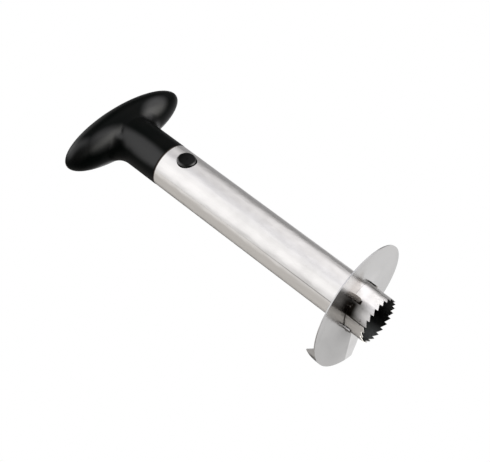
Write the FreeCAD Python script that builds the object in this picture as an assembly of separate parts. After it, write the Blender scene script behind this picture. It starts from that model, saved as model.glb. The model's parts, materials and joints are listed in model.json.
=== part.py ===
"""Pineapple corer and slicer: a toothed steel tube with a spiral slicing blade, and a T-handle that
locks into the tube with two spring buttons.

Millimetres. Z runs up the tube, from the tips of the saw teeth at Z = 0 to the handle. X runs along
the T-grip and Y through the two release buttons. Angles are degrees about Z, counted from +X.
"""
import FreeCAD, Part
import math
import os

from FreeCAD import Matrix, Rotation, Vector

# Corer tube, rolled from sheet and butt welded
TUBE_OD = 32.0
TUBE_WALL = 0.6
TUBE_LENGTH = 185.0
TOOTH_COUNT = 23
TOOTH_DEPTH = 2.2
TOOTH_LEAN = 0.25            # how far a tip leans past the root of its steep face
TOOTH_FLAT = 0.12
TOOTH_PHASE = -0.3           # angle of one tooth's steep face
SEAM_ANGLE = 202.0
SEAM_WIDTH = 0.3
SEAM_DEPTH = 0.15

# Spiral blade, a slit disc drawn out into one turn of a helix
BLADE_RADIUS = 43.6
BLADE_SHEET = 0.8
BLADE_PITCH = 12.5
BLADE_ZERO_ANGLE = 97.0
BLADE_ZERO_HEIGHT = 12.1     # underside at that angle, above the tooth tips
WELD_GAP = 0.1               # between the tube and what is welded on it
SLIT_ANGLE = 113.0           # direction that the slit runs outwards
SLIT_OFFSET = 10.8           # how far the slit's line passes from the tube's axis
SLIT_KERF = 0.4
SPARE_ARC = 60.0             # sheet wound past the slit, then trimmed back to it
BEVEL_AT_RIM = 3.4
BEVEL_FLARE = 19.6           # angle between the slit and the heel of the bevel
EDGE_LAND = 0.15             # sheet left standing at the ground edge
BEVEL_STEPS = 5              # spans of the bevel's two curves
FIN_LEAD_ANGLE = 146.0
FIN_TIP_ANGLE = 165.0
FIN_TRAIL_ANGLE = 175.5
FIN_HEIGHT = 7.3             # tip above the blade's underside
FIN_BULGE = 0.9              # how far the cutting side stands out from its chord
TAB_COUNT = 4
TAB_FIRST_ANGLE = 160.5
TAB_SETBACK = 18.05          # last tab's angle back from where the slit meets the tube
TAB_WIDTH = 3.2
TAB_LENGTH = 5.3

# T-handle: grip, stem and the spigot that goes into the tube
GRIP_HALF_LENGTH = 51.5
GRIP_HALF_WIDTH = 19.0
GRIP_HALF_HEIGHT = 13.9
GRIP_RISE = 46.6             # centre of the grip above the tube's end
GRIP_WALL = 3.0
STEM_OD = 32.2
STEM_FILLET = 11.5
STEM_CHAMFER = 0.4           # shadow line between the stem and the tube
SPIGOT_LENGTH = 34.0
SPIGOT_WALL = 2.5
SPIGOT_CLEARANCE = 0.1       # radial, in the tube
SPIGOT_LEAD_IN = 1.0
CAP_HALF_LENGTH = 30.0
CAP_HALF_WIDTH = 7.5
CAP_THICKNESS = 2.0
CAP_LEDGE = 1.5              # width of the ledge under the cap's edge
CAP_SIDE_CLEARANCE = 0.12
CAP_SEAT_CLEARANCE = 0.05

# Plug that closes the spigot's lower end
PLUG_FLANGE = 1.2
PLUG_FLANGE_RECESS = 0.4     # the flange stays inside the spigot's outline
PLUG_DEPTH = 6.0
PLUG_WALL = 1.6
PLUG_CLEARANCE = 0.05

# Release buttons and the spring between them
BUTTON_DROP = 15.1           # centre of a button below the tube's upper end
BUTTON_DIAMETER = 12.9
BUTTON_CLEARANCE = 0.15      # radial, in the spigot's holes
CATCH_PLAY = 0.5             # radial, in the tube's holes
CATCH_SAG = 0.35             # how far the tube's holes sit below the buttons
BUTTON_PROUD = 1.4
BUTTON_CROWN = 0.35
BUTTON_CHAMFER = 0.8
BUTTON_TRAVEL = 3.0
FLANGE_DIAMETER = 16.0
FLANGE_REACH = 9.4           # flat inner face of the flange from the tube's axis
FLANGE_CLEARANCE = 0.05      # to the spigot's bore
GUIDE_DIAMETER = 4.0
GUIDE_CLEARANCE = 0.06       # radial, in the socket
GUIDE_END_GAP = 0.9          # pin to the socket's floor, with both buttons pressed
SOCKET_WALL = 1.1
SOCKET_END_GAP = 0.4         # socket to the collar, with both buttons pressed
COLLAR_HEIGHT = 1.0
SPRING_WIRE = 0.8
SPRING_TURNS = 6             # active ones
SPRING_END_TURNS = 1         # closed ones at each end
SPRING_END_GAP = 0.5         # between the coils of a closed end
SPRING_SAMPLES = 36          # points to a turn, where the gap between coils is measured
SPRING_SEAT = 0.02
SPRING_LOOSE = 0.35          # radial, round the socket

TUBE_RADIUS = TUBE_OD / 2
TUBE_BORE = TUBE_RADIUS - TUBE_WALL
STEM_RADIUS = STEM_OD / 2
GRIP_HEIGHT = TUBE_LENGTH + GRIP_RISE
SPIGOT_RADIUS = TUBE_BORE - SPIGOT_CLEARANCE
SPIGOT_BORE = SPIGOT_RADIUS - SPIGOT_WALL
SPIGOT_END = TUBE_LENGTH - SPIGOT_LENGTH
BUTTON_HEIGHT = TUBE_LENGTH - BUTTON_DROP
BUTTON_RADIUS = BUTTON_DIAMETER / 2
BUTTON_HOLE = BUTTON_RADIUS + BUTTON_CLEARANCE
CATCH_HOLE = BUTTON_RADIUS + CATCH_PLAY
GUIDE_PAST_AXIS = FLANGE_REACH - 2 * BUTTON_TRAVEL - GUIDE_END_GAP
SOCKET_PAST_AXIS = FLANGE_REACH - COLLAR_HEIGHT - 2 * BUTTON_TRAVEL - SOCKET_END_GAP
SOCKET_BORE = GUIDE_DIAMETER / 2 + GUIDE_CLEARANCE
SOCKET_RADIUS = SOCKET_BORE + SOCKET_WALL
SPRING_RADIUS = SOCKET_RADIUS + SPRING_LOOSE + SPRING_WIRE / 2
OVERRUN = 1.0                # how far a joined or cutting solid runs past a face
TOUCH = 0.01                 # tolerance when an edge is picked by its place
UP = Vector(0, 0, 1)


def polar(radius, angle, z=0.0):
    """Point at a radius and an angle about the tube's axis."""
    turn = math.radians(angle)
    return Vector(radius * math.cos(turn), radius * math.sin(turn), z)


def cylinder(radius, low, high):
    """Upright cylinder on the tube's axis."""
    return Part.makeCylinder(radius, high - low, Vector(0, 0, low))


def ring(outer, inner, low, high):
    """Upright tube on the tube's axis."""
    return cylinder(outer, low, high).cut(cylinder(inner, low - OVERRUN, high + OVERRUN))


def cross_cylinder(radius, start, end, height=BUTTON_HEIGHT):
    """Cylinder along Y at a height, by default that of the buttons."""
    return Part.makeCylinder(radius, end - start, Vector(0, start, height), Vector(0, 1, 0))


def closed_face(points):
    """Flat face inside a closed run of points."""
    return Part.Face(Part.makePolygon(points + points[:1]))


def radial_prism(outline, angle, inner, outer):
    """Push a closed outline of (run, height) pairs outwards along one direction.

    The run is measured square to that direction, towards larger angles.
    """
    outwards = polar(1, angle)
    across = polar(1, angle + 90)
    points = [outwards * inner + across * run + UP * height for run, height in outline]
    return closed_face(points).extrude(outwards * (outer - inner))


def ellipsoid(inset=0.0):
    """The grip's form, drawn in evenly on its three half axes."""
    shape = Matrix()
    shape.scale(GRIP_HALF_LENGTH - inset, GRIP_HALF_WIDTH - inset, GRIP_HALF_HEIGHT - inset)
    shape.move(Vector(0, 0, GRIP_HEIGHT))
    return Part.makeSphere(1).transformGeometry(shape)


def oval_prism(half_length, half_width, low, high):
    """Upright elliptic cylinder."""
    outline = Part.Ellipse(Vector(0, 0, low), half_length, half_width).toShape()
    return Part.Face(Part.Wire(outline)).extrude(UP * (high - low))


def corer_tube():
    """Rolled tube with its ring of saw teeth, weld seam and two button holes."""
    tube = ring(TUBE_RADIUS, TUBE_BORE, 0, TUBE_LENGTH)
    pitch = 360 / TOOTH_COUNT
    run = 2 * math.pi * TUBE_RADIUS / TOOTH_COUNT
    far = TOOTH_LEAN + TOOTH_FLAT - run
    gap = [(far, 0), (0, TOOTH_DEPTH), (TOOTH_LEAN, 0), (TOOTH_LEAN, -OVERRUN), (far, -OVERRUN)]
    gaps = [radial_prism(gap, TOOTH_PHASE + pitch * n, TUBE_BORE - OVERRUN, TUBE_RADIUS + OVERRUN)
            for n in range(TOOTH_COUNT)]
    holes = cross_cylinder(CATCH_HOLE, -TUBE_OD, TUBE_OD, BUTTON_HEIGHT - CATCH_SAG)
    half = SEAM_WIDTH / 2
    low, high = -OVERRUN, TUBE_LENGTH + OVERRUN
    seam = radial_prism([(-half, low), (half, low), (half, high), (-half, high)], SEAM_ANGLE,
                        TUBE_RADIUS - SEAM_DEPTH, TUBE_RADIUS + OVERRUN)
    return tube.cut(Part.makeCompound(gaps)).cut([holes, seam])


def blade_height(angle):
    """Height of the blade's underside at an angle along its turn."""
    return BLADE_ZERO_HEIGHT + BLADE_PITCH * (angle - BLADE_ZERO_ANGLE) / 360


def slit_point(reach, shift, z=0.0):
    """Point a distance out along the slit, shifted square to it towards larger angles."""
    return polar(reach, SLIT_ANGLE) + polar(shift - SLIT_OFFSET, SLIT_ANGLE + 90) + UP * z


def slit_slab(near, far, low, high):
    """Block beside the slit, from one shift to another, over a span of heights."""
    start = TUBE_RADIUS * math.cos(math.radians(SPARE_ARC)) - OVERRUN
    end = BLADE_RADIUS + OVERRUN
    corners = [slit_point(start, near, low), slit_point(end, near, low),
               slit_point(end, far, low), slit_point(start, far, low)]
    return closed_face(corners).extrude(UP * (high - low))


def helical_sheet(first, last):
    """Plate between the tube and the rim, wound from one angle to another."""
    edges = []
    for radius in (TUBE_RADIUS + WELD_GAP, BLADE_RADIUS):
        helix = Part.makeHelix(BLADE_PITCH, BLADE_PITCH * (last - first) / 360, radius)
        helix.rotate(Vector(), UP, first)
        helix.translate(UP * blade_height(first))
        edges.append(helix.Edges[0])
    return Part.makeRuledSurface(*edges).extrude(UP * BLADE_SHEET)


def on_slit(radius):
    """How far out along the slit's line it crosses a radius."""
    return math.sqrt(radius ** 2 - SLIT_OFFSET ** 2)


def height_under(point):
    """Height of the blade's underside at a point near the slit's lower side."""
    return blade_height(math.degrees(math.atan2(point.y, point.x)))


def smooth_edge(points):
    """Curve through a run of points."""
    curve = Part.BSplineCurve()
    curve.interpolate(points)
    return curve.toShape()


def tab_angles():
    """Evenly spaced angles of the tabs, from the first one to the one nearest the sheet's end."""
    sheet_end = SLIT_ANGLE + 360 - math.degrees(math.asin(SLIT_OFFSET / TUBE_RADIUS))
    spacing = (sheet_end - TAB_SETBACK - TAB_FIRST_ANGLE) / (TAB_COUNT - 1)
    return [TAB_FIRST_ANGLE + spacing * n for n in range(TAB_COUNT)]


def cutting_bevel():
    """What is ground off the underside behind the cutting edge."""
    near, far = on_slit(TUBE_RADIUS) - OVERRUN, on_slit(BLADE_RADIUS) + OVERRUN
    edge_line, heel_line = [], []
    for step in range(BEVEL_STEPS + 1):
        reach = near + (far - near) * step / BEVEL_STEPS
        width = BEVEL_AT_RIM + (on_slit(BLADE_RADIUS) - reach) * math.tan(math.radians(BEVEL_FLARE))
        edge, heel = slit_point(reach, 0), slit_point(reach, width)
        edge.z = height_under(edge) + BLADE_SHEET - EDGE_LAND
        heel.z = height_under(heel)
        slope = (edge - heel) * (OVERRUN / width)
        edge_line.append(edge + slope)
        heel_line.append(heel - slope)
    face = Part.makeRuledSurface(smooth_edge(edge_line), smooth_edge(heel_line))
    return face.extrude(UP * -BLADE_PITCH / 2)


def peel_fin():
    """Upturned fin on the rim that scores the fruit inside its peel."""
    middle = (FIN_TRAIL_ANGLE + FIN_LEAD_ANGLE) / 2
    half_span = math.radians(FIN_TRAIL_ANGLE - FIN_LEAD_ANGLE) / 2
    depth = BLADE_RADIUS * (1 - math.cos(half_span)) + BLADE_SHEET + OVERRUN

    def on_rim(angle, above):
        run = BLADE_RADIUS * math.sin(math.radians(angle - middle))
        return polar(BLADE_RADIUS - depth, middle, blade_height(angle) + above) + polar(run, middle + 90)

    root = BLADE_SHEET / 2
    lead, tip = on_rim(FIN_LEAD_ANGLE, root), on_rim(FIN_TIP_ANGLE, FIN_HEIGHT)
    trail = on_rim(FIN_TRAIL_ANGLE, root)
    outwards = (lead - tip).cross(polar(1, middle)).normalize()
    belly = (tip + lead) * 0.5 + outwards * math.copysign(FIN_BULGE, outwards.z)
    outline = Part.Wire([Part.makeLine(trail, tip), Part.Arc(tip, belly, lead).toShape(),
                         Part.makeLine(lead, trail)])
    prism = Part.Face(outline).extrude(polar(depth + OVERRUN, middle))
    return prism.common(ring(BLADE_RADIUS, BLADE_RADIUS - BLADE_SHEET, lead.z - OVERRUN, tip.z + OVERRUN))


def weld_tab(angle):
    """Lug bent down from the blade's inner edge along the tube."""
    top = blade_height(angle) + BLADE_SHEET / 2
    half = TAB_WIDTH / 2
    toe_height = blade_height(angle) - TAB_LENGTH + half
    inner = TUBE_RADIUS + WELD_GAP
    outer = inner + BLADE_SHEET
    near, far = inner - OVERRUN, outer + OVERRUN
    strip = radial_prism([(-half, toe_height), (half, toe_height), (half, top), (-half, top)],
                         angle, near, far)
    toe = Part.makeCylinder(half, far - near, polar(near, angle, toe_height), polar(1, angle))
    return strip.fuse(toe).common(ring(outer, inner, toe_height - half - OVERRUN, top + OVERRUN))


def spiral_blade():
    """Slit disc with its ground edge, peel fin and weld tabs."""
    sheet = helical_sheet(SLIT_ANGLE - SPARE_ARC, SLIT_ANGLE + 360)
    middle = blade_height(BLADE_ZERO_ANGLE + 180)
    start = slit_slab(-2 * BLADE_RADIUS, 0, middle - BLADE_PITCH, middle)
    end = slit_slab(-SLIT_KERF, 2 * BLADE_RADIUS, middle, middle + BLADE_PITCH)
    blade = sheet.cut([start, end]).cut(cutting_bevel())
    return blade.fuse([peel_fin()] + [weld_tab(angle) for angle in tab_angles()])


def handle_body():
    """Hollow grip and stem in one moulding, with the spigot below the stem."""
    stem = cylinder(STEM_RADIUS, TUBE_LENGTH, GRIP_HEIGHT)
    lower_rim = [e for e in stem.Edges if abs(e.BoundBox.ZMax - TUBE_LENGTH) < TOUCH]
    stem = stem.makeChamfer(STEM_CHAMFER, lower_rim[:1])
    outside = ellipsoid().fuse(stem)
    stem_start = TUBE_LENGTH + STEM_CHAMFER + OVERRUN
    crease = [e for e in outside.Edges
              if e.BoundBox.ZMin > stem_start and abs(e.BoundBox.XMax - STEM_RADIUS) < OVERRUN]
    outside = outside.makeFillet(STEM_FILLET, crease)
    spigot = cylinder(SPIGOT_RADIUS, SPIGOT_END, TUBE_LENGTH + OVERRUN)
    spigot_rim = [e for e in spigot.Edges if abs(e.BoundBox.ZMax - SPIGOT_END) < TOUCH]
    spigot = spigot.makeChamfer(SPIGOT_LEAD_IN, spigot_rim[:1])
    bore = cylinder(SPIGOT_BORE, SPIGOT_END - OVERRUN, GRIP_HEIGHT)
    buttons = cross_cylinder(BUTTON_HOLE, -TUBE_OD, TUBE_OD)
    top = GRIP_HEIGHT + GRIP_HALF_HEIGHT + OVERRUN
    recess = oval_prism(CAP_HALF_LENGTH, CAP_HALF_WIDTH, GRIP_HEIGHT, top).cut(ellipsoid(CAP_THICKNESS))
    opening = oval_prism(CAP_HALF_LENGTH - CAP_LEDGE, CAP_HALF_WIDTH - CAP_LEDGE, GRIP_HEIGHT, top)
    body = outside.fuse(spigot)
    for tool in (ellipsoid(GRIP_WALL), bore, buttons, opening, recess):
        body = body.cut(tool)
    return body


def handle_cap():
    """Oval inlay that closes the grip's top."""
    side = CAP_SIDE_CLEARANCE
    plate = oval_prism(CAP_HALF_LENGTH - side, CAP_HALF_WIDTH - side, GRIP_HEIGHT,
                       GRIP_HEIGHT + GRIP_HALF_HEIGHT + OVERRUN)
    return plate.common(ellipsoid()).cut(ellipsoid(CAP_THICKNESS - CAP_SEAT_CLEARANCE))


def spigot_plug():
    """Cup pressed into the spigot, with a flange against its lower end."""
    rim = SPIGOT_RADIUS - SPIGOT_LEAD_IN - PLUG_FLANGE_RECESS
    skirt_radius = SPIGOT_BORE - PLUG_CLEARANCE
    low, high = SPIGOT_END - PLUG_FLANGE, SPIGOT_END + PLUG_DEPTH
    flange = cylinder(rim, low, SPIGOT_END)
    skirt = cylinder(skirt_radius, low, high)
    hollow = cylinder(skirt_radius - PLUG_WALL, SPIGOT_END + PLUG_WALL, high + OVERRUN)
    return flange.fuse(skirt).cut(hollow).removeSplitter()


def button_shell():
    """Crown and flange of the button on the -Y side."""
    face = TUBE_RADIUS + BUTTON_PROUD
    edge = face - BUTTON_CROWN
    flat = BUTTON_RADIUS - BUTTON_CHAMFER
    dome_radius = (flat ** 2 + BUTTON_CROWN ** 2) / (2 * BUTTON_CROWN)
    quarter = math.asin(flat / dome_radius) / 2
    half_way = Vector(dome_radius * math.sin(quarter), dome_radius * (1 - math.cos(quarter)) - face, 0)
    dome = Part.Arc(Vector(0, -face, 0), half_way, Vector(flat, -edge, 0)).toShape()
    back = (SPIGOT_BORE + FLANGE_REACH) / 2
    corners = [Vector(flat, -edge, 0), Vector(BUTTON_RADIUS, BUTTON_CHAMFER - edge, 0),
               Vector(BUTTON_RADIUS, -back, 0), Vector(0, -back, 0), Vector(0, -face, 0)]
    outline = Part.Wire([dome] + [Part.makeLine(a, b) for a, b in zip(corners, corners[1:])])
    crown = Part.Face(outline).revolve(Vector(), Vector(0, 1, 0), 360)
    crown.translate(UP * BUTTON_HEIGHT)
    flange = cross_cylinder(FLANGE_DIAMETER / 2, -SPIGOT_BORE, -FLANGE_REACH)
    seat = cylinder(SPIGOT_BORE - FLANGE_CLEARANCE, BUTTON_HEIGHT - FLANGE_DIAMETER,
                    BUTTON_HEIGHT + FLANGE_DIAMETER)
    return crown.fuse(flange.common(seat))


def release_button_front():
    """Button on the -Y side, with the guide pin and a collar that centres the spring."""
    pin = cross_cylinder(GUIDE_DIAMETER / 2, -FLANGE_REACH - OVERRUN, GUIDE_PAST_AXIS)
    collar = cross_cylinder(SOCKET_RADIUS, -FLANGE_REACH - OVERRUN, COLLAR_HEIGHT - FLANGE_REACH)
    return button_shell().fuse([pin, collar]).removeSplitter()


def release_button_rear():
    """Button on the +Y side, with the socket that takes the guide pin."""
    shell = button_shell()
    shell.rotate(Vector(), UP, 180)
    socket = cross_cylinder(SOCKET_RADIUS, -SOCKET_PAST_AXIS, FLANGE_REACH + OVERRUN)
    bore = cross_cylinder(SOCKET_BORE, -SOCKET_PAST_AXIS - OVERRUN, FLANGE_REACH)
    return shell.fuse(socket).cut(bore).removeSplitter()


def spring_rise(turn):
    """Distance of the wire's centre from the middle of the spring, after a number of turns."""
    half_turns = SPRING_TURNS / 2
    end_pitch = SPRING_WIRE + SPRING_END_GAP
    half_length = FLANGE_REACH - SPRING_SEAT - SPRING_WIRE / 2
    pitch = (half_length - end_pitch * SPRING_END_TURNS) / half_turns
    if abs(turn) < half_turns:
        return pitch * turn
    return math.copysign(pitch * half_turns + end_pitch * (abs(turn) - half_turns), turn)


def spring_point(turn):
    """Point of the wire's centre line."""
    angle = 2 * math.pi * turn
    return Vector(SPRING_RADIUS * math.cos(angle), spring_rise(turn),
                  BUTTON_HEIGHT + SPRING_RADIUS * math.sin(angle))


def spring_heading(turn):
    """Unit direction of the wire."""
    step = 0.02
    return (spring_point(turn + step) - spring_point(turn - step)).normalize()


def tangent_arc(start, corner, end):
    """Arc from start to end whose end tangents meet in a corner."""
    middle = (start + end) * 0.5
    half_chord = (end - start).Length / 2
    quarter = math.atan2((corner - middle).Length, half_chord) / 2
    crown = middle + (corner - middle).normalize() * (half_chord * math.tan(quarter))
    return Part.Arc(start, crown, end).toShape()


def biarc(turn, following):
    """Two arcs that carry the wire smoothly from one turn value to the following one."""
    start, end = spring_point(turn), spring_point(following)
    leaving, arriving = spring_heading(turn), spring_heading(following)
    chord = end - start
    along = chord.dot(leaving + arriving)
    bend = 2 * (1 - leaving.dot(arriving))
    reach = (math.sqrt(along ** 2 + bend * chord.dot(chord)) - along) / bend
    first, second = start + leaving * reach, end - arriving * reach
    joint = (first + second) * 0.5
    return [tangent_arc(start, first, joint), tangent_arc(joint, second, end)]


def latch_spring():
    """Compression spring of round wire with closed ends."""
    half = SPRING_TURNS / 2 + SPRING_END_TURNS
    quarters = round(2 * half * 4)
    turns = [-half + n / 4 for n in range(quarters + 1)]
    arcs = [arc for a, b in zip(turns, turns[1:]) for arc in biarc(a, b)]
    wire = Part.Wire(arcs)
    circle = Part.Circle(spring_point(-half), spring_heading(-half), SPRING_WIRE / 2)
    sweep = Part.BRepOffsetAPI.MakePipeShell(wire)
    sweep.add(Part.Wire(circle.toShape()))
    sweep.build()
    sweep.makeSolid()
    samples = [spring_point(-half + n / SPRING_SAMPLES) for n in range(round(2 * half * SPRING_SAMPLES) + 1)]
    far_side = SPRING_SAMPLES // 2
    least = min((a - b).Length for n, a in enumerate(samples) for b in samples[n + far_side:])
    print(f"latch_spring: least gap to itself {least - SPRING_WIRE:.2f} mm")
    return sweep.shape()


NODES = [corer_tube, spiral_blade, handle_body, handle_cap, spigot_plug, release_button_front,
         release_button_rear, latch_spring]


def main():
    """Build every sub-part and write one STEP file for each."""
    os.makedirs("parts", exist_ok=True)
    for build in NODES:
        shape = build()
        shape.exportStep(f"parts/{build.__name__}.step")
        box = shape.BoundBox
        print(f"{build.__name__}: {len(shape.Solids)} solid, valid {shape.isValid()}, "
              f"volume {shape.Volume:.0f}, Z {box.ZMin:.2f} to {box.ZMax:.2f}")


main()
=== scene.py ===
"""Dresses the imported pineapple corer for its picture: steel, moulded plastic, welds, studio and camera.

All lengths are metres in the part's own frame: Z runs up the tube from the tips of its teeth, X runs along
the grip and Y through the release buttons. Angles are degrees, and those about Z are counted from +X.
"""

import json
import logging
import math
from dataclasses import dataclass, field
from enum import Enum

import bmesh
import bpy
from mathutils import Matrix, Quaternion, Vector

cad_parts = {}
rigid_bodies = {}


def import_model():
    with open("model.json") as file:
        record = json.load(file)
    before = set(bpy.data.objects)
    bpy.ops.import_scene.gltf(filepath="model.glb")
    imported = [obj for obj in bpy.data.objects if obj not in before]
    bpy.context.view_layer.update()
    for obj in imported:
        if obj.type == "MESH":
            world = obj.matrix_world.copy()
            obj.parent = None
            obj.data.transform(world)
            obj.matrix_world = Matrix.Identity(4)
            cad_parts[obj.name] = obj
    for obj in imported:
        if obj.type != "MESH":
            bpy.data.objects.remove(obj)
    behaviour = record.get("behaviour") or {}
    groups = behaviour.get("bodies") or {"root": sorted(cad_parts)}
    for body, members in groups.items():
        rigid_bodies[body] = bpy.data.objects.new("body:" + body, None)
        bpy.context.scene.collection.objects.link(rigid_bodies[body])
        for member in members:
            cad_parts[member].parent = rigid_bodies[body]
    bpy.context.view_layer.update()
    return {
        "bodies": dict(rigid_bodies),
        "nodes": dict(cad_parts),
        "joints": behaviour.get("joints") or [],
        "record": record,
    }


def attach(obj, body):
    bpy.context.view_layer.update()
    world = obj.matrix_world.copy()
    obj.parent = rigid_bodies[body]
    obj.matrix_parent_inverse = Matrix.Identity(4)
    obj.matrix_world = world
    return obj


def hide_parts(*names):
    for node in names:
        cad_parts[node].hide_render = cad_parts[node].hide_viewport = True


LOG = logging.getLogger("corer")
TOOL_BODY = "tool"
FULL_TURN = 360.0
RIGHT_ANGLE = 90.0
UP = Vector((0.0, 0.0, 1.0))
NODE_STEP = 200

Span = tuple[float, float]
Triple = tuple[float, float, float]
Stops = tuple[float, float, float, float]
Colour = tuple[float, float, float, float]
Socket = bpy.types.NodeSocket
Inputs = bpy.types.NodeInputs
Outputs = bpy.types.NodeOutputs
Value = Socket | Vector | tuple[float, ...] | float
WHITE: Colour = (1.0, 1.0, 1.0, 1.0)


class Slot(Enum):
    """The record's material slots that added pieces belong to."""

    TUBE = "tube_steel"
    BLADE = "blade_steel"
    HANDLE = "handle_plastic"


def polar(radius: float, angle: float, z: float = 0.0) -> Vector:
    """Finds a point by its distance and angle from the tube's axis.

    Args:
        radius: Distance from the axis.
        angle: Degrees about Z.
        z: Height.

    Returns:
        The point.
    """
    turn = math.radians(angle)
    return Vector((radius * math.cos(turn), radius * math.sin(turn), z))


def ramp(value: float, span: Span) -> float:
    """Rises evenly from 0 to 1 over a span and stays level outside it."""
    return min(max((value - span[0]) / (span[1] - span[0]), 0.0), 1.0)


class Graph:
    """A node tree that is written from left to right.

    Where a method takes a Value, that is an output to link or a plain value for the socket.
    """

    def __init__(self, tree: bpy.types.NodeTree) -> None:
        """Starts on an empty tree."""
        self.tree = tree
        self.tree.nodes.clear()

    def add(self, kind: str, **settings: object) -> bpy.types.Node:
        """Adds a node.

        Args:
            kind: Blender's name for the node's type.
            **settings: Properties to set on the node.

        Returns:
            The node, placed to the right of the last one.
        """
        node = self.tree.nodes.new(kind)
        node.location.x = NODE_STEP * len(self.tree.nodes)
        for name, value in settings.items():
            setattr(node, name, value)
        return node

    def feed(self, socket: Socket, value: Value) -> None:
        """Links an output to an input, or sets the input to a plain value.

        Args:
            socket: The input.
            value: The output or the plain value.
        """
        if isinstance(value, Socket):
            self.tree.links.new(value, socket)
        else:
            socket.default_value = value

    def fill(self, node: bpy.types.Node, *values: Value) -> bpy.types.Node:
        """Feeds a node's inputs in their order.

        Args:
            node: The node.
            *values: One for each input that is used.

        Returns:
            The same node.
        """
        for socket, value in zip(node.inputs, values):
            self.feed(socket, value)
        return node

    def math(self, operation: str, *values: Value, clamp: bool = False) -> Socket:
        """Works out one arithmetic step, held between 0 and 1 if clamp is set."""
        node = self.add("ShaderNodeMath", operation=operation, use_clamp=clamp)
        return self.fill(node, *values).outputs[0]

    def vector(self, operation: str, *values: Value) -> Socket:
        """Works out one step on vectors. LENGTH and DOT_PRODUCT give a number, the others a vector."""
        node = self.fill(self.add("ShaderNodeVectorMath", operation=operation), *values)
        return node.outputs["Value" if operation in ("LENGTH", "DOT_PRODUCT") else "Vector"]

    def split(self, value: Value) -> Outputs:
        """Splits a vector into X, Y and Z."""
        return self.fill(self.add("ShaderNodeSeparateXYZ"), value).outputs

    def join(self, *values: Value) -> Socket:
        """Joins X, Y and Z to a vector."""
        return self.fill(self.add("ShaderNodeCombineXYZ"), *values).outputs[0]

    def place(self) -> Socket:
        """Gives the shaded point in the object's own frame."""
        return self.add("ShaderNodeTexCoord").outputs["Object"]

    def smooth(self, value: Value, low: Value, high: Value) -> Socket:
        """Rises smoothly from 0 at the value low to 1 at the value high, which may lie below low."""
        node = self.add("ShaderNodeMapRange", interpolation_type="SMOOTHSTEP")
        return self.fill(node, value, low, high).outputs["Result"]

    def window(self, value: Value, stops: Stops) -> Socket:
        """Opens and closes a smooth window.

        Args:
            value: What the window follows.
            stops: The rise from 0 to 1 runs between the first two, and the fall between the last two.

        Returns:
            The result.
        """
        rise = self.smooth(value, stops[0], stops[1])
        fall = self.smooth(value, stops[2], stops[3])
        return self.math("SUBTRACT", rise, fall, clamp=True)

    def blend(self, factor: Value, first: Value, second: Value) -> Socket:
        """Mixes two colours.

        Args:
            factor: Share of the second colour.
            first: A colour.
            second: The other one.

        Returns:
            The mixed colour.
        """
        # The node has sockets for every type of data. Its colours are the inputs 6 and 7 and the output 2.
        node = self.add("ShaderNodeMix", data_type="RGBA")
        self.feed(node.inputs["Factor"], factor)
        self.feed(node.inputs[6], first)
        self.feed(node.inputs[7], second)
        return node.outputs[2]

    def mix(self, factor: Value, first: Socket, second: Socket) -> Socket:
        """Mixes two shaders by the share of the second."""
        return self.fill(self.add("ShaderNodeMixShader"), factor, first, second).outputs[0]

    def noise(self, vector: Value, scale: float, detail: float = 2.0, rough: float = 0.5) -> Socket:
        """Samples a noise field.

        Args:
            vector: Where it is sampled.
            scale: How many patches there are to a unit.
            detail: How many finer layers are laid over it.
            rough: How strong the finer layers are.

        Returns:
            The noise, about 0.5.
        """
        node = self.add("ShaderNodeTexNoise")
        given = {"Vector": vector, "Scale": scale, "Detail": detail, "Roughness": rough}
        for name, value in given.items():
            self.feed(node.inputs[name], value)
        return node.outputs["Fac"]


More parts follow.
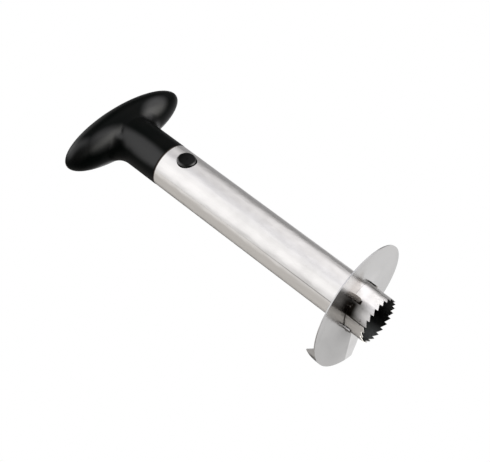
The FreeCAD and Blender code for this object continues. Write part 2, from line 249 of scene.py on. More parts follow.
class Effects:
    """Shader node groups that several finishes share, each built once."""

    broad_scale: float = 0.17
    fine_share: float = 0.7
    smudge_edges: Span = (0.42, 0.68)

    @staticmethod
    def start(name: str, inputs: dict[str, str], outputs: dict[str, str]) -> tuple[Graph, Outputs, Inputs]:
        """Makes a group and its sockets.

        Args:
            name: Name of the group.
            inputs: Socket type for each input's name.
            outputs: Socket type for each output's name.

        Returns:
            The graph, its input node's outputs and its output node's inputs.
        """
        tree = bpy.data.node_groups.new(name, "ShaderNodeTree")
        for way, sockets in (("INPUT", inputs), ("OUTPUT", outputs)):
            for label, kind in sockets.items():
                tree.interface.new_socket(label, in_out=way, socket_type=f"NodeSocket{kind}")
        graph = Graph(tree)
        return graph, graph.add("NodeGroupInput").outputs, graph.add("NodeGroupOutput").inputs

    @classmethod
    def around_axis(cls) -> bpy.types.NodeTree:
        """Unrolls the space about the tube's axis.

        Returns:
            A group that gives Radius, Height and Lift in metres, Angle in degrees and the unrolled Vector.
            Lift is the height above the blade's underside, which climbs round the tube.
        """
        name = "around_axis"
        if name in bpy.data.node_groups:
            return bpy.data.node_groups[name]
        outputs = {"Vector": "Vector"} | dict.fromkeys(("Radius", "Angle", "Height", "Lift"), "Float")
        graph, _, result = cls.start(name, {}, outputs)
        x, y, z = graph.split(graph.place())
        square = graph.math("ADD", graph.math("MULTIPLY", x, x), graph.math("MULTIPLY", y, y))
        radius = graph.math("SQRT", square)
        turn = graph.math("ARCTAN2", y, x)
        angle = graph.math("FLOORED_MODULO", graph.math("DEGREES", turn), FULL_TURN)
        along = graph.math("SUBTRACT", angle, SpiralBlade.first_angle)
        along = graph.math("FLOORED_MODULO", along, FULL_TURN)
        underside = graph.math("MULTIPLY_ADD", along, SpiralBlade.pitch / FULL_TURN, SpiralBlade.first_height)
        graph.feed(result["Vector"], graph.join(graph.math("MULTIPLY", turn, CorerTube.radius), z, radius))
        graph.feed(result["Radius"], radius)
        graph.feed(result["Angle"], angle)
        graph.feed(result["Height"], z)
        graph.feed(result["Lift"], graph.math("SUBTRACT", z, underside))
        return graph.tree

    @classmethod
    def polishing_lines(cls) -> bpy.types.NodeTree:
        """Fine lines that a polishing belt leaves in steel.

        Returns:
            A group that stretches noise by Scale and gives Height, the softer Broad, and Shade about 0.5.
        """
        name = "polishing_lines"
        if name in bpy.data.node_groups:
            return bpy.data.node_groups[name]
        outputs = {"Height": "Float", "Broad": "Float", "Shade": "Float"}
        graph, given, result = cls.start(name, {"Vector": "Vector", "Scale": "Vector"}, outputs)
        stretched = graph.vector("MULTIPLY", given["Vector"], given["Scale"])
        fine = graph.noise(stretched, 1.0, detail=3.0, rough=0.6)
        broad = graph.noise(stretched, cls.broad_scale, detail=1.0)
        graph.feed(result["Height"], fine)
        graph.feed(result["Broad"], broad)
        graph.feed(result["Shade"], graph.math("ADD", graph.math("MULTIPLY", fine, cls.fine_share),
                                               graph.math("MULTIPLY", broad, 1.0 - cls.fine_share)))
        return graph.tree

    @classmethod
    def handling(cls) -> bpy.types.NodeTree:
        """Soft smudges and wipe marks from use.

        Returns:
            A group that gives Smudge, from 0 to 1 in soft patches of the given Size.
        """
        name = "handling"
        if name in bpy.data.node_groups:
            return bpy.data.node_groups[name]
        graph, given, result = cls.start(name, {"Vector": "Vector", "Size": "Float"}, {"Smudge": "Float"})
        scaled = graph.add("ShaderNodeVectorMath", operation="SCALE")
        graph.feed(scaled.inputs["Vector"], given["Vector"])
        graph.feed(scaled.inputs["Scale"], graph.math("DIVIDE", 1.0, given["Size"]))
        patches = graph.noise(scaled.outputs["Vector"], 1.0, detail=3.0, rough=0.55)
        graph.feed(result["Smudge"], graph.smooth(patches, *cls.smudge_edges))
        return graph.tree

    @classmethod
    def rubbed_spot(cls) -> bpy.types.NodeTree:
        """A soft oval spot that fingers have rubbed, the same on the tool's two flat sides.

        Returns:
            A group that gives Spot, 1 up to the share Inner of Size about Middle and 0 from Size on.
            Middle lies on the -Y side.
        """
        name = "rubbed_spot"
        if name in bpy.data.node_groups:
            return bpy.data.node_groups[name]
        inputs = {"Vector": "Vector", "Middle": "Vector", "Size": "Vector", "Inner": "Float"}
        graph, given, result = cls.start(name, inputs, {"Spot": "Float"})
        x, y, z = graph.split(given["Vector"])
        turned = graph.join(graph.math("MULTIPLY", graph.math("MULTIPLY", x, graph.math("SIGN", y)), -1.0),
                            graph.math("MULTIPLY", graph.math("ABSOLUTE", y), -1.0), z)
        offset = graph.vector("SUBTRACT", turned, given["Middle"])
        reach = graph.vector("LENGTH", graph.vector("DIVIDE", offset, given["Size"]))
        graph.feed(result["Spot"], graph.smooth(reach, 1.0, given["Inner"]))
        return graph.tree

    @staticmethod
    def use(graph: Graph, tree: bpy.types.NodeTree, **inputs: Value) -> Outputs:
        """Uses a group in a material.

        Args:
            graph: The material's graph.
            tree: The group.
            **inputs: What to feed to the group's inputs.

        Returns:
            The group's outputs.
        """
        node = graph.add("ShaderNodeGroup", node_tree=tree)
        for label, value in inputs.items():
            graph.feed(node.inputs[label], value)
        return node.outputs


def new_material(name: str) -> tuple[bpy.types.Material, Graph, bpy.types.Node]:
    """Starts a material.

    Args:
        name: Name of the material.

    Returns:
        The material, its graph and its Principled BSDF, which is linked to the output.
    """
    material = bpy.data.materials.new(name)
    material.use_nodes = True
    graph = Graph(material.node_tree)
    shader = graph.add("ShaderNodeBsdfPrincipled")
    graph.fill(graph.add("ShaderNodeOutputMaterial"), shader.outputs[0])
    return material, graph, shader


def add_bump(graph: Graph, shader: bpy.types.Node, height: Value, distance: float) -> None:
    """Raises a surface.

    Args:
        graph: The material's graph.
        shader: Its Principled BSDF.
        height: The relief, from 0 to 1.
        distance: How high a relief of 1 stands.
    """
    bump = graph.add("ShaderNodeBump")
    bump.inputs["Distance"].default_value = distance
    graph.feed(bump.inputs["Height"], height)
    graph.feed(shader.inputs["Normal"], bump.outputs[0])


@dataclass(frozen=True)
class Patch:
    """A patch of the tube with soft edges, by angle and by lift over the blade's underside."""

    angles: Stops
    lifts: Stops
    strength: float = 1.0

    def mask(self, graph: Graph, axis: Outputs) -> Socket:
        """Finds the patch.

        Args:
            graph: The material's graph.
            axis: Outputs of the around_axis group.

        Returns:
            The patch's strength on it and 0 elsewhere.
        """
        high = graph.window(axis["Lift"], self.lifts)
        wide = graph.window(axis["Angle"], self.angles)
        return graph.math("MULTIPLY", graph.math("MULTIPLY", high, wide), self.strength)


@dataclass(frozen=True)
class TubeSteel:
    """Satin stainless tube: belt lines along it, faint hollows, a weld seam, a duller bore painted dark as
    shade, painted shade along the blade's joint, a painted highlight strip and painted dark reflections.
    """

    colour: Colour = (0.80, 0.79, 0.775, 1.0)
    dark: Colour = (0.70, 0.69, 0.675, 1.0)
    tint: Colour = (0.035, 0.028, 0.022, 1.0)
    # Colour of the painted highlight strip.
    bright: Colour = (0.97, 0.965, 0.96, 1.0)
    # Dark colour painted in the bore as shade in the recess.
    bore: Colour = (0.09, 0.095, 0.095, 1.0)
    bore_radius: float = 0.0156
    roughness: float = 0.25
    smudge_blur: float = 0.06
    line_blur: float = 0.08
    bore_blur: float = 0.35
    brushing: float = 0.8
    across: float = 0.25
    line_scale: Triple = (3200.0, 60.0, 900.0)
    line_depth: float = 0.000004
    hollow_scale: Triple = (1300.0, 480.0, 300.0)
    hollow_depth: float = 0.00026
    smudge_size: float = 0.02
    seam_angle: float = 202.0
    seam_core: float = 0.57
    seam_half: float = 1.9
    seam_fade: Span = (0.115, 0.035)
    seam_faint: float = 0.03
    seam_gain: float = 0.42
    # A painted dark reflection beside the seam, just below the blade.
    dark_reflection_angles: Stops = (201.5, 203.5, 230.0, 242.0)
    dark_reflection_lifts: Span = (-0.0068, -0.0026)
    # A painted shadow line where the tube's upper end meets the stem.
    end_shade_heights: Span = (0.1837, 0.1844)
    # Painted shade in the gap along the blade's joint with the tube.
    joint_gap_shade: Patch = Patch((110.0, 125.0, 199.0, 204.0), (-0.0004, -0.0002, 0.0, 0.0001), 0.75)
    # Painted shadow round the front tab.
    tab_shadow: Patch = Patch((236.6, 237.6, 246.0, 248.0), (-0.0063, -0.0059, -0.0010, -0.0005))
    # Painted dark reflection along the right limb below the blade.
    right_limb_shade: Patch = Patch((302.0, 309.0, 320.0, 326.0), (-0.0190, -0.0160, -0.0008, 0.0), 0.42)
    # Painted shade along the lower-left limb below the blade.
    left_limb_shade: Patch = Patch((144.0, 149.0, 156.0, 166.0), (-0.0150, -0.0130, -0.0048, -0.0036), 0.34)
    # A painted highlight: a white reflection strip on the front, just below the blade.
    highlight_strip: Patch = Patch((246.0, 250.0, 284.0, 290.0), (-0.0090, -0.0030, 0.0, 0.0001))

    def seam_and_painted_shade(self, graph: Graph, axis: Outputs) -> Socket:
        """Collects the seam and the painted shade: a painted dark reflection beside the seam, painted shade
        along the joint and round the front tab, a painted dark reflection along the right limb, painted shade
        along the left one, and a painted shadow line at the tube's upper end.

        Args:
            graph: The material's graph.
            axis: Outputs of the around_axis group.

        Returns:
            How dark the steel is, from 0 to 1.
        """
        below = graph.math("LESS_THAN", axis["Lift"], 0.0)
        off_seam = graph.math("ABSOLUTE", graph.math("SUBTRACT", axis["Angle"], self.seam_angle))
        seam = graph.math("SUBTRACT", 1.0, graph.smooth(off_seam, self.seam_core, self.seam_half))
        near = graph.smooth(axis["Height"], *self.seam_fade)
        strong = graph.math("MULTIPLY_ADD", near, self.seam_gain, self.seam_faint)
        strong = graph.math("MAXIMUM", strong, below)
        # Painted dark reflection beside the seam, below the blade.
        dark_reflection = graph.math("MULTIPLY", graph.smooth(axis["Lift"], *self.dark_reflection_lifts), below)
        dark_reflection = graph.math("MULTIPLY", dark_reflection, graph.window(axis["Angle"], self.dark_reflection_angles))
        dark = graph.math("MAXIMUM", graph.math("MULTIPLY", seam, strong), dark_reflection)
        # Painted shadow line at the tube's upper end.
        dark = graph.math("MAXIMUM", dark, graph.smooth(axis["Height"], *self.end_shade_heights))
        # Painted shade along the joint, round the front tab and on both limbs.
        for patch in (self.joint_gap_shade, self.tab_shadow, self.right_limb_shade, self.left_limb_shade):
            dark = graph.math("MAXIMUM", dark, patch.mask(graph, axis))
        return dark

    def build(self) -> bpy.types.Material:
        """Makes the material.

        Returns:
            The material.
        """
        material, graph, shader = new_material("tube_satin_steel")
        axis = Effects.use(graph, Effects.around_axis())
        skin = axis["Vector"]
        lines = Effects.use(graph, Effects.polishing_lines(), Vector=skin, Scale=self.line_scale)
        hollows = Effects.use(graph, Effects.polishing_lines(), Vector=skin, Scale=self.hollow_scale)
        smudge = Effects.use(graph, Effects.handling(), Vector=skin, Size=self.smudge_size)
        inside = graph.math("LESS_THAN", axis["Radius"], self.bore_radius)
        steel = graph.blend(lines["Shade"], self.dark, self.colour)
        # Painted highlight strip on the front below the blade.
        steel = graph.blend(self.highlight_strip.mask(graph, axis), steel, self.bright)
        # The seam's own dark line, together with the painted shade and dark reflections.
        steel = graph.blend(self.seam_and_painted_shade(graph, axis), steel, self.tint)
        # Painted shade in the bore.
        graph.feed(shader.inputs["Base Color"], graph.blend(inside, steel, self.bore))
        shader.inputs["Metallic"].default_value = 1.0
        shader.inputs["Anisotropic"].default_value = self.brushing
        shader.inputs["Anisotropic Rotation"].default_value = self.across
        tangent = graph.add("ShaderNodeTangent", direction_type="RADIAL", axis="Z")
        graph.feed(shader.inputs["Tangent"], tangent.outputs[0])
        spread = graph.math("MULTIPLY_ADD", smudge["Smudge"], self.smudge_blur, self.roughness)
        spread = graph.math("MULTIPLY_ADD", lines["Shade"], self.line_blur, spread)
        graph.feed(shader.inputs["Roughness"], graph.math("MULTIPLY_ADD", inside, self.bore_blur, spread))
        share = self.line_depth / self.hollow_depth
        height = graph.math("MULTIPLY_ADD", lines["Height"], share, hollows["Broad"])
        add_bump(graph, shader, height, self.hollow_depth)
        return material


@dataclass(frozen=True)
class Slit:
    """The slit's line and the bevel ground behind it, on the lower end of the blade's sheet.

    Draw and dip say how far the cutting edge is drawn out round the helix and how far it dips, each over a
    span of distances along the slit. Points in front of the slit's line by less than the margin belong to the
    edge, and nothing above the ceiling belongs to the lower end.
    """

    angle: float = 113.0
    offset: float = 0.0108
    end: float = 0.0422
    margin: float = 0.0003
    bevel_at_rim: float = 0.0034
    bevel_flare: float = 19.6
    ceiling: float = 0.018
    draw_angle: float = 5.0
    draw_span: Span = (0.012, 0.032)
    dip: float = 0.0004
    dip_span: Span = (0.0300, 0.0422)

    @property
    def slope(self) -> float:
        """How much the bevel widens for each metre towards the tube."""
        return math.tan(math.radians(self.bevel_flare))

    @property
    def widest(self) -> float:
        """Width that the bevel would have beside the tube's axis."""
        return self.bevel_at_rim + self.slope * self.end

    def drawn_out(self, point: Vector, pitch: float) -> Vector:
        """Moves a point of the bevel on round the helix, fully at the cutting edge and not at all at its heel.

        Args:
            point: A point of the blade.
            pitch: The helix's pitch.

        Returns:
            The point, moved if it lies on the bevel.
        """
        along = point.dot(polar(1.0, self.angle))
        behind = point.dot(polar(1.0, self.angle + RIGHT_ANGLE)) + self.offset
        width = self.widest - self.slope * along
        if point.z > self.ceiling or along < self.draw_span[0] or not -self.margin < behind < width:
            return point
        nearness = 1.0 - max(behind, 0.0) / width
        turn = self.draw_angle * ramp(along, self.draw_span) * nearness
        moved = Matrix.Rotation(math.radians(-turn), 3, "Z") @ point
        moved.z -= pitch * turn / FULL_TURN + self.dip * ramp(along, self.dip_span) * nearness
        return moved

    def ground(self, graph: Graph) -> Socket:
        """Finds the bevel in a material.

        Args:
            graph: The material's graph.

        Returns:
            1 on the bevel and 0 elsewhere.
        """
        place = graph.place()
        along = graph.vector("DOT_PRODUCT", place, polar(1.0, self.angle))
        back = graph.vector("DOT_PRODUCT", place, polar(1.0, self.angle + RIGHT_ANGLE))
        behind = graph.math("ADD", back, self.offset)
        width = graph.math("MULTIPLY_ADD", along, -self.slope, self.widest)
        low = graph.math("LESS_THAN", graph.split(place)["Z"], self.ceiling)
        inside = graph.math("MULTIPLY", graph.math("LESS_THAN", behind, width), low)
        return graph.math("MULTIPLY", inside, graph.math("GREATER_THAN", along, 0.0))


@dataclass(frozen=True)
class BladeSteel:
    """Bright sheet steel: fine lines round the axis and a duller cut rim, with a painted highlight along part
    of the rim, a painted dim reflection on a band of the sheet and painted shade at the joint with the tube
    and its tabs.
    """

    colour: Colour = (0.655, 0.65, 0.645, 1.0)
    dark: Colour = (0.60, 0.595, 0.59, 1.0)
    ground: Colour = (0.84, 0.835, 0.83, 1.0)
    rim: Colour = (0.44, 0.44, 0.44, 1.0)
    rim_radii: Span = (0.04352, 0.04358)
    # A paler colour painted on the rim over a span of angles: a painted highlight.
    rim_highlight: Colour = (0.84, 0.84, 0.84, 1.0)
    rim_highlight_angles: Stops = (277.0, 291.0, 320.0, 335.0)
    # A darker, warmer tone painted on a band of the sheet: a painted dim reflection.
    dim_reflection: Colour = (0.415, 0.39, 0.365, 1.0)
    dim_reflection_radii: Span = (0.0400, 0.0260)
    dim_reflection_angles: Stops = (228.0, 243.0, 262.0, 274.0)
    # Colour of the painted shade at the joint with the tube.
    tint: Colour = (0.22, 0.21, 0.20, 1.0)
    weld_radii: Span = (0.0176, 0.0168)
    joint_shade_arcs: tuple[Stops, Stops] = ((110.0, 125.0, 199.0, 206.0), (316.0, 321.0, 336.0, 340.0))
    unshaded_tab: Stops = (150.0, 153.0, 168.0, 171.0)
    roughness: float = 0.2
    smudge_blur: float = 0.06
    smudge_size: float = 0.015
    line_scale: Triple = (60.0, 900.0, 4200.0)
    line_depth: float = 0.000003
    slit: Slit = Slit()

    def joint_shade(self, graph: Graph, axis: Outputs) -> Socket:
        """Collects the painted shade at the weld and its tabs, apart from one tab left unshaded.

        Args:
            graph: The material's graph.
            axis: Outputs of the around_axis group.

        Returns:
            How dark the steel is, from 0 to 1.
        """
        near, far = (graph.window(axis["Angle"], arc) for arc in self.joint_shade_arcs)
        at_weld = graph.smooth(axis["Radius"], *self.weld_radii)
        dark = graph.math("MULTIPLY", at_weld, graph.math("MAXIMUM", near, far))
        return graph.math("SUBTRACT", dark, graph.window(axis["Angle"], self.unshaded_tab), clamp=True)

    def build(self) -> bpy.types.Material:
        """Makes the material.

        Returns:
            The material.
        """
        material, graph, shader = new_material("blade_bright_steel")
        axis = Effects.use(graph, Effects.around_axis())
        lines = Effects.use(graph, Effects.polishing_lines(), Vector=axis["Vector"], Scale=self.line_scale)
        smudge = Effects.use(graph, Effects.handling(), Vector=axis["Vector"], Size=self.smudge_size)
        steel = graph.blend(lines["Shade"], self.dark, self.colour)
        steel = graph.blend(self.slit.ground(graph), steel, self.ground)
        # Painted highlight on part of the cut rim.
        rim = graph.blend(graph.window(axis["Angle"], self.rim_highlight_angles), self.rim, self.rim_highlight)
        steel = graph.blend(graph.smooth(axis["Radius"], *self.rim_radii), steel, rim)
        # Painted dim reflection on a band of the sheet.
        dimmed = graph.math("MULTIPLY", graph.smooth(axis["Radius"], *self.dim_reflection_radii),
                            graph.window(axis["Angle"], self.dim_reflection_angles))
        steel = graph.blend(dimmed, steel, self.dim_reflection)
        # Painted shade along the joint with the tube and its tabs.
        graph.feed(shader.inputs["Base Color"], graph.blend(self.joint_shade(graph, axis), steel, self.tint))
        shader.inputs["Metallic"].default_value = 1.0
        spread = graph.math("MULTIPLY_ADD", smudge["Smudge"], self.smudge_blur, self.roughness)
        graph.feed(shader.inputs["Roughness"], spread)
        add_bump(graph, shader, lines["Height"], self.line_depth)
        return material


@dataclass(frozen=True)
class Spot:
    """A place that fingers rub, on the -Y side."""

    middle: Triple
    size: Triple
    inner: float = 0.4
    strength: float = 1.0

    def mask(self, graph: Graph, place: Socket) -> Socket:
        """Finds the spot.

        Args:
            graph: The material's graph.
            place: The shaded point.

        Returns:
            The spot's strength in its middle, falling to 0 round it.
        """
        spot = Effects.use(graph, Effects.rubbed_spot(), Vector=place, Middle=self.middle, Size=self.size,
                           Inner=self.inner)
        return graph.math("MULTIPLY", spot["Spot"], self.strength)


@dataclass(frozen=True)
class Moulding:
    """Black moulded plastic: a fine eroded grain, soft handling marks and rubbed spots of another gloss.

    A gloss is a specular level, and mirrored is the share of light that a gloss of 1 throws straight back.
    """

    name: str
    colour: Colour = (0.0012, 0.0020, 0.0017, 1.0)
    worn: Colour = (0.0025, 0.0030, 0.0026, 1.0)
    roughness: float = 0.36
    smudge_blur: float = 0.05
    smudge_size: float = 0.018
    gloss: float = 0.04
    rubbed_gloss: float = 0.60
    mirrored: float = 0.08
    spots: tuple[Spot, ...] = ()
    grain: float = 0.0004
    depth: float = 0.000012

    def lay_coat(self, graph: Graph, shader: bpy.types.Node, place: Socket) -> None:
        """Lets the plastic have the lower gloss and lays a coat over it where it shines more.

        Args:
            graph: The material's graph.
            shader: Its Principled BSDF.
            place: The shaded point.
        """
        coat: Value = 0.0
        for spot in self.spots:
            coat = graph.math("MAXIMUM", coat, spot.mask(graph, place))
        if self.rubbed_gloss < self.gloss:
            coat = graph.math("SUBTRACT", 1.0, coat)
        amplitude = math.sqrt(self.mirrored * abs(self.rubbed_gloss - self.gloss))
        graph.feed(shader.inputs["Coat Weight"], coat)
        shader.inputs["Coat IOR"].default_value = (1.0 + amplitude) / (1.0 - amplitude)
        shader.inputs["Coat Roughness"].default_value = self.roughness + self.smudge_blur / 2.0
        shader.inputs["Specular IOR Level"].default_value = min(self.gloss, self.rubbed_gloss)

    def build(self) -> bpy.types.Material:
        """Makes the material.

        Returns:
            The material.
        """
        material, graph, shader = new_material(self.name)
        place = graph.place()
        smudge = Effects.use(graph, Effects.handling(), Vector=place, Size=self.smudge_size)["Smudge"]
        spread = graph.math("MULTIPLY_ADD", smudge, self.smudge_blur, self.roughness)
        graph.feed(shader.inputs["Base Color"], graph.blend(smudge, self.colour, self.worn))
        graph.feed(shader.inputs["Roughness"], spread)
        shader.inputs["Specular IOR Level"].default_value = self.gloss
        if self.spots:
            self.lay_coat(graph, shader, place)
        add_bump(graph, shader, graph.noise(place, 1.0 / self.grain, rough=0.6), self.depth)
        return material


@dataclass(frozen=True)
class SpatterSteel:
    """Dark scaled beads that welding leaves."""

    colour: Colour = (0.60, 0.58, 0.56, 1.0)
    scale: Colour = (0.12, 0.10, 0.09, 1.0)
    scale_size: float = 0.0004
    scale_edges: Span = (0.4, 0.6)
    roughness: float = 0.22
    scale_blur: float = 0.2

    def build(self) -> bpy.types.Material:
        """Makes the material.

        Returns:
            The material.
        """
        material, graph, shader = new_material("weld_spatter")
        patches = graph.noise(graph.place(), 1.0 / self.scale_size)
        scaled = graph.smooth(patches, *self.scale_edges)
        graph.feed(shader.inputs["Base Color"], graph.blend(scaled, self.colour, self.scale))
        shader.inputs["Metallic"].default_value = 1.0
        spread = graph.math("MULTIPLY_ADD", patches, self.scale_blur, self.roughness)
        graph.feed(shader.inputs["Roughness"], spread)
        return material


@dataclass(frozen=True)
class SpringWire:
    """Bright drawn wire."""

    colour: Colour = (0.55, 0.55, 0.56, 1.0)
    worn: Colour = (0.4, 0.4, 0.41, 1.0)
    roughness: float = 0.25
    smudge_blur: float = 0.1
    smudge_size: float = 0.003

    def build(self) -> bpy.types.Material:
        """Makes the material.

        Returns:
            The material.
        """
        material, graph, shader = new_material("spring_wire")
        smudge = Effects.use(graph, Effects.handling(), Vector=graph.place(), Size=self.smudge_size)["Smudge"]
        graph.feed(shader.inputs["Base Color"], graph.blend(smudge, self.colour, self.worn))
        shader.inputs["Metallic"].default_value = 1.0
        spread = graph.math("MULTIPLY_ADD", smudge, self.smudge_blur, self.roughness)
        graph.feed(shader.inputs["Roughness"], spread)
        return material


def dress(frame: dict, node: str, finish: bpy.types.Material) -> None:
    """Puts a material on a node of the frame.

    Args:
        node: Name of the node.
        finish: The material.
    """
    mesh = frame["nodes"][node].data
    mesh.materials.clear()
    mesh.materials.append(finish)
    LOG.info("%s wears %s", node, finish.name)


def new_mesh(name: str, work: bmesh.types.BMesh) -> bpy.types.Mesh:
    """Turns finished work into a mesh.

    Args:
        name: Name of the mesh.
        work: The work, which is freed.

    Returns:
        The mesh.
    """
    mesh = bpy.data.meshes.new(name)
    work.to_mesh(mesh)
    work.free()
    return mesh


def new_object(name: str, data: bpy.types.ID) -> bpy.types.Object:
    """Puts an object in the scene.

    Args:
        name: Name of the object.
        data: Its mesh or camera.

    Returns:
        The object.
    """
    added = bpy.data.objects.new(name, data)
    bpy.context.scene.collection.objects.link(added)
    return added


def new_piece(name: str, mesh: bpy.types.Mesh, finish: bpy.types.Material) -> bpy.types.Object:
    """Adds a piece to the scene.

    Args:
        name: Name of the piece.
        mesh: Its mesh.
        finish: Its material.

    Returns:
        The piece.
    """
    mesh.materials.clear()
    mesh.materials.append(finish)
    LOG.info("%s has %d faces of %s", name, len(mesh.polygons), finish.name)
    return new_object(name, mesh)


@dataclass(frozen=True)
class Bead:
    """A flattened weld bead on the tube, which stands out by its rise times its radius."""

    angle: float
    height: float
    radius: float
    rise: float = 0.5


@dataclass
class CorerTube:
    """The toothed tube with its weld beads."""

    radius: float = 0.016
    node: str = "corer_tube"
    finish: TubeSteel = field(default_factory=TubeSteel)
    spatter: SpatterSteel = field(default_factory=SpatterSteel)
    beads: tuple[Bead, ...] = (
        Bead(222.0, 0.0156, 0.0005), Bead(227.0, 0.0152, 0.0003), Bead(207.0, 0.0052, 0.0005),
        Bead(210.5, 0.0058, 0.0003), Bead(199.0, 0.0046, 0.0004), Bead(318.0, 0.0186, 0.0004),
    )

    def add_beads(self) -> None:
        """Sets the beads on the tube."""
        work = bmesh.new()
        for bead in self.beads:
            turn = Quaternion(UP, math.radians(bead.angle)).to_matrix().to_4x4()
            place = Matrix.Translation(polar(self.radius, bead.angle, bead.height)) @ turn
            squash = Matrix.Diagonal((bead.radius * bead.rise, bead.radius, bead.radius, 1.0))
            bmesh.ops.create_icosphere(work, subdivisions=3, radius=1.0, matrix=place @ squash)
        for face in work.faces:
            face.smooth = True
        piece = new_piece("weld_beads", new_mesh("weld_beads", work), self.spatter.build())
        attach(piece, TOOL_BODY)

    def build(self, frame: dict) -> None:
        """Dresses the tube and adds its weld beads."""
        dress(frame, self.node, self.finish.build())
        self.add_beads()


@dataclass
class SpiralBlade:
    """The spiral blade. Its underside climbs by the pitch from the first height at the first angle."""

    first_angle: float = 70.5
    first_height: float = 0.01118
    pitch: float = 0.0125
    node: str = "spiral_blade"
    finish: BladeSteel = field(default_factory=BladeSteel)

    def build(self, frame: dict) -> None:
        """Stands a copy of the blade in the CAD node's place, with its cutting edge drawn out.
        """
        mesh = frame["nodes"][self.node].data.copy()
        for vert in mesh.vertices:
            vert.co = self.finish.slit.drawn_out(vert.co, self.pitch)
        mesh.update()
        piece = new_piece("blade_sheet", mesh, self.finish.build())
        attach(piece, TOOL_BODY)
        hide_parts(self.node)


@dataclass(frozen=True)
class Corner:
    """The inner corner between stem and grip, tight on the tool's two flat sides and soft at its ends.

    A direction's lean from the tube's axis counts as at least the least lean, because it is divided by.
    """

    half: Triple = (0.0515, 0.0190, 0.0139)
    middle: Vector = Vector((0.0, 0.0, 0.2316))
    stem: float = 0.0161
    rounding: float = 0.0016
    fade: Span = (0.52, 0.78)
    skin: float = 0.00005
    lowest: float = 0.204
    least_lean: float = 0.001

    def reach(self, way: Vector) -> float:
        """Finds how far the tight corner's surface lies from the grip's middle.

        Args:
            way: Unit direction.

        Returns:
            The distance.
        """
        grip = 1.0 / math.sqrt(sum((part / half) ** 2 for part, half in zip(way, self.half)))
        stem = self.stem / max(math.hypot(way.x, way.y), self.least_lean)
        near = max(self.rounding - abs(grip - stem), 0.0)
        return max(grip, stem) + near * near / self.rounding / 4.0

    def covers(self, point: Vector) -> bool:
        """Tells whether a point lies on the outer skin of the corner.

        Args:
            point: A point of the moulding.

        Returns:
            Whether it does.
        """
        offset = point - self.middle
        distance = offset.length
        return (point.z > self.lowest and offset.z < 0.0 and distance > 0.0
                and distance > self.reach(offset / distance) - self.skin - self.rounding / 4.0)

    def move(self, point: Vector) -> Vector:
        """Moves a point of the skin onto the tight corner, as far as its side asks for.

        Args:
            point: A point that the corner covers.

        Returns:
            Where it goes.
        """
        offset = point - self.middle
        distance = offset.length
        way = offset / distance
        share = ramp(abs(way.y) / max(math.hypot(way.x, way.y), self.least_lean), self.fade)
        share = share * share * (3.0 - 2.0 * share)
        return self.middle + way * (distance + share * (self.reach(way) - distance))


@dataclass
class Handle:
    """The T-handle with its inlay and plug. Edges stay sharp past the crease angle, which is in radians."""

    grip: Moulding = Moulding("handle_moulding", spots=(
        Spot((-0.0110, -0.0115, 0.200), (0.0090, 0.0090, 0.036), 0.5, 0.75),
        Spot((0.0245, -0.0140, 0.2228), (0.018, 0.010, 0.0090), strength=0.85),
        Spot((-0.026, -0.0125, 0.2220), (0.022, 0.010, 0.0092), strength=0.85),
        Spot((-0.042, -0.0090, 0.2292), (0.016, 0.010, 0.0075), strength=0.6),
    ))
    inlay: Moulding = Moulding("inlay_moulding", roughness=0.45, grain=0.0007, depth=0.00002)
    plug: Moulding = Moulding("plug_moulding", roughness=0.5)
    corner: Corner = field(default_factory=Corner)
    merge_distance: float = 0.000001
    crease_angle: float = 0.6

    def shape_shell(self, moulding: bpy.types.Mesh) -> bpy.types.Mesh:
        """Copies the moulding and tightens its corner.

        Args:
            moulding: The CAD node's mesh.

        Returns:
            The new mesh, sharp at the moulding's creases.
        """
        work = bmesh.new()
        work.from_mesh(moulding)
        bmesh.ops.remove_doubles(work, verts=work.verts, dist=self.merge_distance)
        edges = [edge for edge in work.edges if all(self.corner.covers(vert.co) for vert in edge.verts)]
        bmesh.ops.subdivide_edges(work, edges=edges, cuts=1)
        for vert in work.verts:
            if self.corner.covers(vert.co):
                vert.co = self.corner.move(vert.co)
        work.normal_update()
        for edge in work.edges:
            edge.smooth = edge.calc_face_angle(math.pi) < self.crease_angle
        for face in work.faces:
            face.smooth = True
        mesh = new_mesh("handle_shell", work)
        if "custom_normal" in mesh.attributes:
            mesh.attributes.remove(mesh.attributes["custom_normal"])
        return mesh

    def build(self, frame: dict) -> None:
        """Dresses the handle's three mouldings, the largest as a shell in the CAD node's place.
        """
        mesh = self.shape_shell(frame["nodes"]["handle_body"].data)
        piece = new_piece("handle_shell", mesh, self.grip.build())
        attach(piece, TOOL_BODY)
        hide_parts("handle_body")
        dress(frame, "handle_cap", self.inlay.build())
        dress(frame, "spigot_plug", self.plug.build())


@dataclass
class Latch:
    """The two buttons and their spring."""

    button: Moulding = Moulding(
        "button_moulding", colour=(0.002, 0.002, 0.002, 1.0), roughness=0.3, gloss=0.8, rubbed_gloss=0.1,
        spots=(Spot((0.0, -0.0175, 0.1699), (0.0063, 0.03, 0.0063), 0.86),),
    )
    wire: SpringWire = field(default_factory=SpringWire)

    def build(self, frame: dict) -> None:
        """Dresses the buttons and the spring.
        """
        button = self.button.build()
        dress(frame, "release_button_front", button)
        dress(frame, "release_button_rear", button)
        dress(frame, "latch_spring", self.wire.build())


@dataclass(frozen=True)
class Softbox:
    """A patch of light in the surroundings, round in direction, with a soft edge."""

    azimuth: float
    elevation: float
    inner: float
    outer: float
    glow: Triple

    @property
    def heading(self) -> Vector:
        """Unit direction from the object to the middle of the patch."""
        rise = math.radians(self.elevation)
        return polar(math.cos(rise), self.azimuth, math.sin(rise))

    def mask(self, graph: Graph, heading: Socket) -> Socket:
        """Gives 1 where a ray's heading lies in the patch, falling to 0 over its edge."""
        facing = graph.vector("DOT_PRODUCT", heading, self.heading)
        return graph.smooth(facing, math.cos(math.radians(self.outer)), math.cos(math.radians(self.inner)))


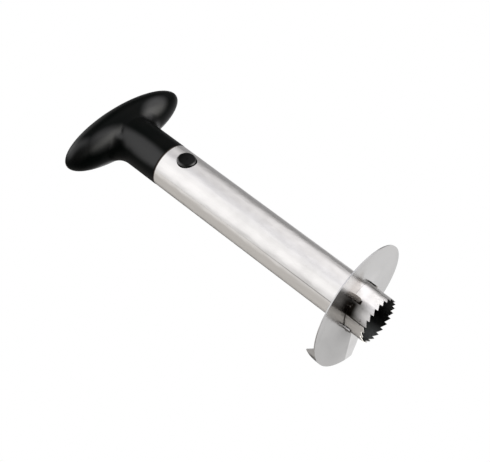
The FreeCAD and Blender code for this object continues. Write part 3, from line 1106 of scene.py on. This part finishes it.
@dataclass
class Studio:
    """Floor, surroundings and camera, whose lens and sensor are in millimetres."""

    floor_half: float = 3.0
    floor_drop: float = 0.0002
    floor_fade: Span = (0.25, 0.8)
    floor_colour: Colour = (0.86, 0.86, 0.855, 1.0)
    floor_roughness: float = 0.8
    ambient: Triple = (0.05, 0.045, 0.04)
    boxes: tuple[Softbox, ...] = (
        Softbox(339.0, -61.0, 20.0, 31.0, (3.1, 3.05, 2.9)),
        Softbox(307.0, -13.0, 29.0, 54.0, (1.50, 1.48, 1.51)),
        Softbox(213.0, 41.0, 1.0, 57.0, (1.50, 1.49, 1.51)),
        Softbox(264.0, 12.0, 1.0, 29.0, (0.785, 0.785, 0.83)),
        Softbox(129.0, 3.0, 42.0, 46.0, (0.60, 0.58, 0.56)),
        Softbox(46.0, -6.0, 12.0, 41.0, (0.79, 0.79, 0.795)),
        Softbox(34.0, 32.0, 28.0, 46.0, (0.35, 0.35, 0.36)),
        Softbox(0.0, 90.0, 16.0, 30.0, (1.9, 1.9, 1.9)),
    )
    station: Vector = Vector((-0.44447, -0.59935, -0.23800))
    aim: Vector = Vector((-0.02905, -0.03112, 0.09056))
    roll: float = -53.07
    lens: float = 92.443
    sensor: float = 36.0
    clip_start: float = 0.01

    def floor_paint(self) -> bpy.types.Material:
        """Makes a pale paint that is clear from below and to reflections, and white far out.

        Returns:
            The material.
        """
        material, graph, shader = new_material("floor_paint")
        shader.inputs["Base Color"].default_value = self.floor_colour
        shader.inputs["Roughness"].default_value = self.floor_roughness
        ray = graph.add("ShaderNodeLightPath").outputs
        below = graph.add("ShaderNodeNewGeometry").outputs["Backfacing"]
        far = graph.smooth(graph.vector("LENGTH", graph.place()), *self.floor_fade)
        white = graph.add("ShaderNodeEmission").outputs[0]
        clear = graph.add("ShaderNodeBsdfTransparent").outputs[0]
        faded = graph.mix(graph.math("MULTIPLY", far, ray["Is Camera Ray"]), shader.outputs[0], white)
        sides = graph.mix(graph.math("MAXIMUM", below, ray["Is Glossy Ray"]), faded, clear)
        graph.feed(graph.tree.get_output_node("ALL").inputs["Surface"], sides)
        return material

    def build_floor(self) -> None:
        """Lays the floor."""
        work = bmesh.new()
        bmesh.ops.create_grid(work, x_segments=2, y_segments=2, size=self.floor_half)
        mesh = new_mesh("studio_floor", work)
        mesh.materials.append(self.floor_paint())
        floor = new_object("studio_floor", mesh)
        floor.location.z = -self.floor_drop
        LOG.info("studio_floor is laid")

    def build_surroundings(self) -> None:
        """Paints the world: white to the eye, soft patches of light to the object."""
        world = bpy.data.worlds.new("studio_world")
        bpy.context.scene.world = world
        world.use_nodes = True
        graph = Graph(world.node_tree)
        heading = graph.add("ShaderNodeTexCoord").outputs["Generated"]
        light: Value = self.ambient
        for box in self.boxes:
            light = graph.vector("MULTIPLY_ADD", box.mask(graph, heading), box.glow, light)
        lit = graph.fill(graph.add("ShaderNodeBackground"), light).outputs[0]
        seen = graph.fill(graph.add("ShaderNodeBackground"), WHITE).outputs[0]
        to_eye = graph.add("ShaderNodeLightPath").outputs["Is Camera Ray"]
        graph.fill(graph.add("ShaderNodeOutputWorld"), graph.mix(to_eye, lit, seen))
        LOG.info("studio_world has %d patches of light", len(self.boxes))

    def build_camera(self) -> None:
        """Sets the camera where the photograph was taken from."""
        data = bpy.data.cameras.new("photo_camera")
        data.sensor_width = self.sensor
        data.lens = self.lens
        data.clip_start = self.clip_start
        camera = new_object("photo_camera", data)
        camera.location = self.station
        camera.rotation_mode = "QUATERNION"
        level = (self.aim - self.station).to_track_quat("-Z", "Y")
        camera.rotation_quaternion = level @ Quaternion(UP, math.radians(self.roll))
        bpy.context.scene.camera = camera

    def build(self) -> None:
        """Builds the whole studio."""
        self.build_floor()
        self.build_surroundings()
        self.build_camera()
        bpy.context.scene.view_settings.view_transform = "Standard"


def main() -> None:
    """Loads the frame, dresses every sub-assembly and sets up the studio."""
    logging.basicConfig(level=logging.INFO, format="%(message)s")
    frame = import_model()
    for assembly in (CorerTube(), SpiralBlade(), Handle(), Latch()):
        assembly.build(frame)
    Studio().build()


if __name__ == "__main__":
    main()
